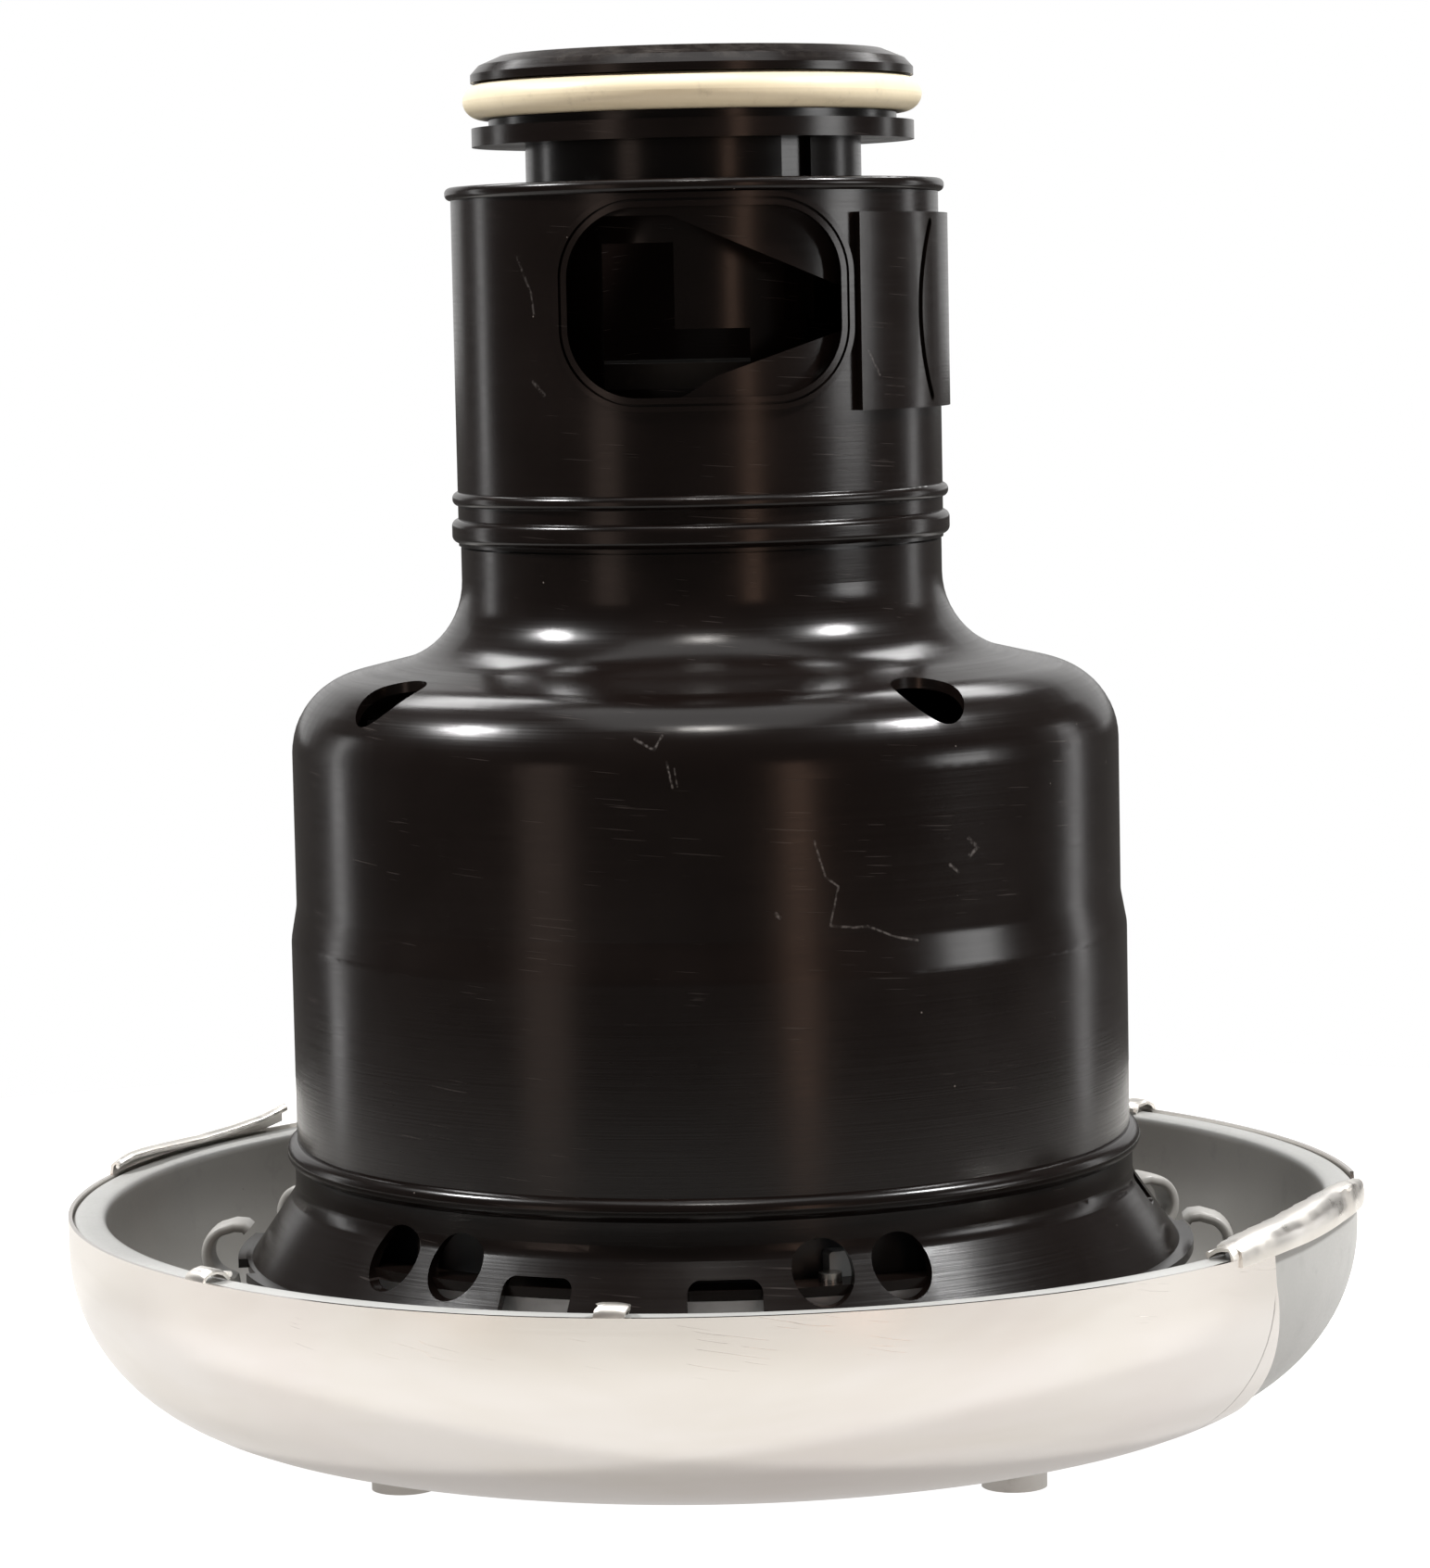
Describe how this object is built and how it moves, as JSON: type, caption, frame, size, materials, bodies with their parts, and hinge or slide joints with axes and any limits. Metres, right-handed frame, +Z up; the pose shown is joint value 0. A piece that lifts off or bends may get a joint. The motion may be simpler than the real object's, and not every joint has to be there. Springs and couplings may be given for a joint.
{
  "type": "food waste disposer",
  "caption": "Kitchen food waste disposer with a windowed twist collar, necked black shell, flared skirt and stainless trim dish.",
  "frame": {"origin": "on the floor under the drive shaft, at the centre of the dish", "axes": "+Z up along the drive shaft, -Y to the front where the collar window faces, +Y towards the discharge outlet"},
  "size_m": [0.262, 0.262, 0.2832],
  "materials": {
    "black_moulding": "semi-gloss moulded black with fine horizontal brushing",
    "grey_moulding": "satin moulded grey",
    "polished_stainless": "polished, faintly brushed round the dish",
    "cream_rubber": "matt cream rubber",
    "black_rubber": "matt black rubber",
    "grey_rubber": "matt light grey rubber",
    "red_moulding": "gloss moulded red",
    "cast_aluminium": "sandcast, satin",
    "painted_steel": "black stoved paint",
    "lamination_steel": "stacked laminations",
    "enamelled_copper": "varnished winding wire",
    "bronze": "sintered bearing bronze",
    "zinc_steel": "bright zinc plate"
  },
  "bodies": {
    "housing": {"base_skirt": "black_moulding", "chamber_housing": "black_moulding", "chamber_screws": "zinc_steel", "cord_gland": "black_moulding", "discharge_gasket": "black_rubber", "discharge_outlet": "black_moulding", "discharge_screws": "zinc_steel", "drain_housing": "black_moulding", "drain_screws": "zinc_steel", "gland_nut": "black_moulding", "grind_ring": "polished_stainless", "lock_sleeve": "black_moulding", "lower_bearing": "bronze", "lower_end_bell": "cast_aluminium", "main_shell": "black_moulding", "motor_frame": "painted_steel", "overload_protector": "black_moulding", "shaft_seal": "black_rubber", "skirt_screws": "zinc_steel", "start_capacitor": "black_moulding", "start_relay": "black_moulding", "stator_core": "lamination_steel", "stator_windings": "enamelled_copper", "terminal_block": "grey_moulding", "throat_liner": "black_rubber", "through_bolts": "zinc_steel", "thrust_washer": "bronze", "upper_bearing": "bronze", "upper_end_bell": "cast_aluminium"},
    "spigot": {"throat_spigot": "black_moulding", "sink_o_ring": "cream_rubber", "splash_guard": "black_rubber"},
    "collar": {"twist_collar": "black_moulding", "cam_pins": "zinc_steel"},
    "rotor": {"rotor_shaft": "zinc_steel", "rotor_core": "lamination_steel", "cooling_fan": "grey_moulding", "turntable": "polished_stainless", "turntable_nut": "zinc_steel", "lug_pins": "zinc_steel"},
    "lug_a": {"swivel_lug_a": "polished_stainless"},
    "lug_b": {"swivel_lug_b": "polished_stainless"},
    "reset": {"reset_button": "red_moulding"},
    "dish": {"inner_bowl": "grey_moulding", "stainless_skin": "polished_stainless", "rubber_feet": "grey_rubber"}
  },
  "joints": [
    {"name": "collar_twist", "type": "hinge", "parent": "housing", "child": "collar", "pos_m": [0, 0, 0.2], "axis": [0, 0, 1], "range_deg": [0, 35]},
    {"name": "spigot_draw", "type": "slide", "parent": "housing", "child": "spigot", "axis": [0, 0, 1], "range_m": [-0.006, 0]},
    {"name": "rotor_spin", "type": "hinge", "parent": "housing", "child": "rotor", "pos_m": [0, 0, 0.1], "axis": [0, 0, 1], "continuous": true},
    {"name": "lug_a_swing", "type": "hinge", "parent": "rotor", "child": "lug_a", "pos_m": [0.034, 0, 0.138], "axis": [0, 0, 1], "continuous": true},
    {"name": "lug_b_swing", "type": "hinge", "parent": "rotor", "child": "lug_b", "pos_m": [-0.034, 0, 0.138], "axis": [0, 0, 1], "continuous": true},
    {"name": "reset_press", "type": "slide", "parent": "housing", "child": "reset", "axis": [0, 0, 1], "range_m": [0, 0.0018], "stiffness_N_per_m": 300, "springref_m": -0.001},
    {"name": "dish_twist", "type": "hinge", "parent": "housing", "child": "dish", "pos_m": [0, 0, 0.03], "axis": [0, 0, 1], "range_deg": [0, 14]}
  ],
  "couplings": [
    {"joint": "spigot_draw", "follows": "collar_twist", "m_per_rad": -0.0098221}
  ]
}
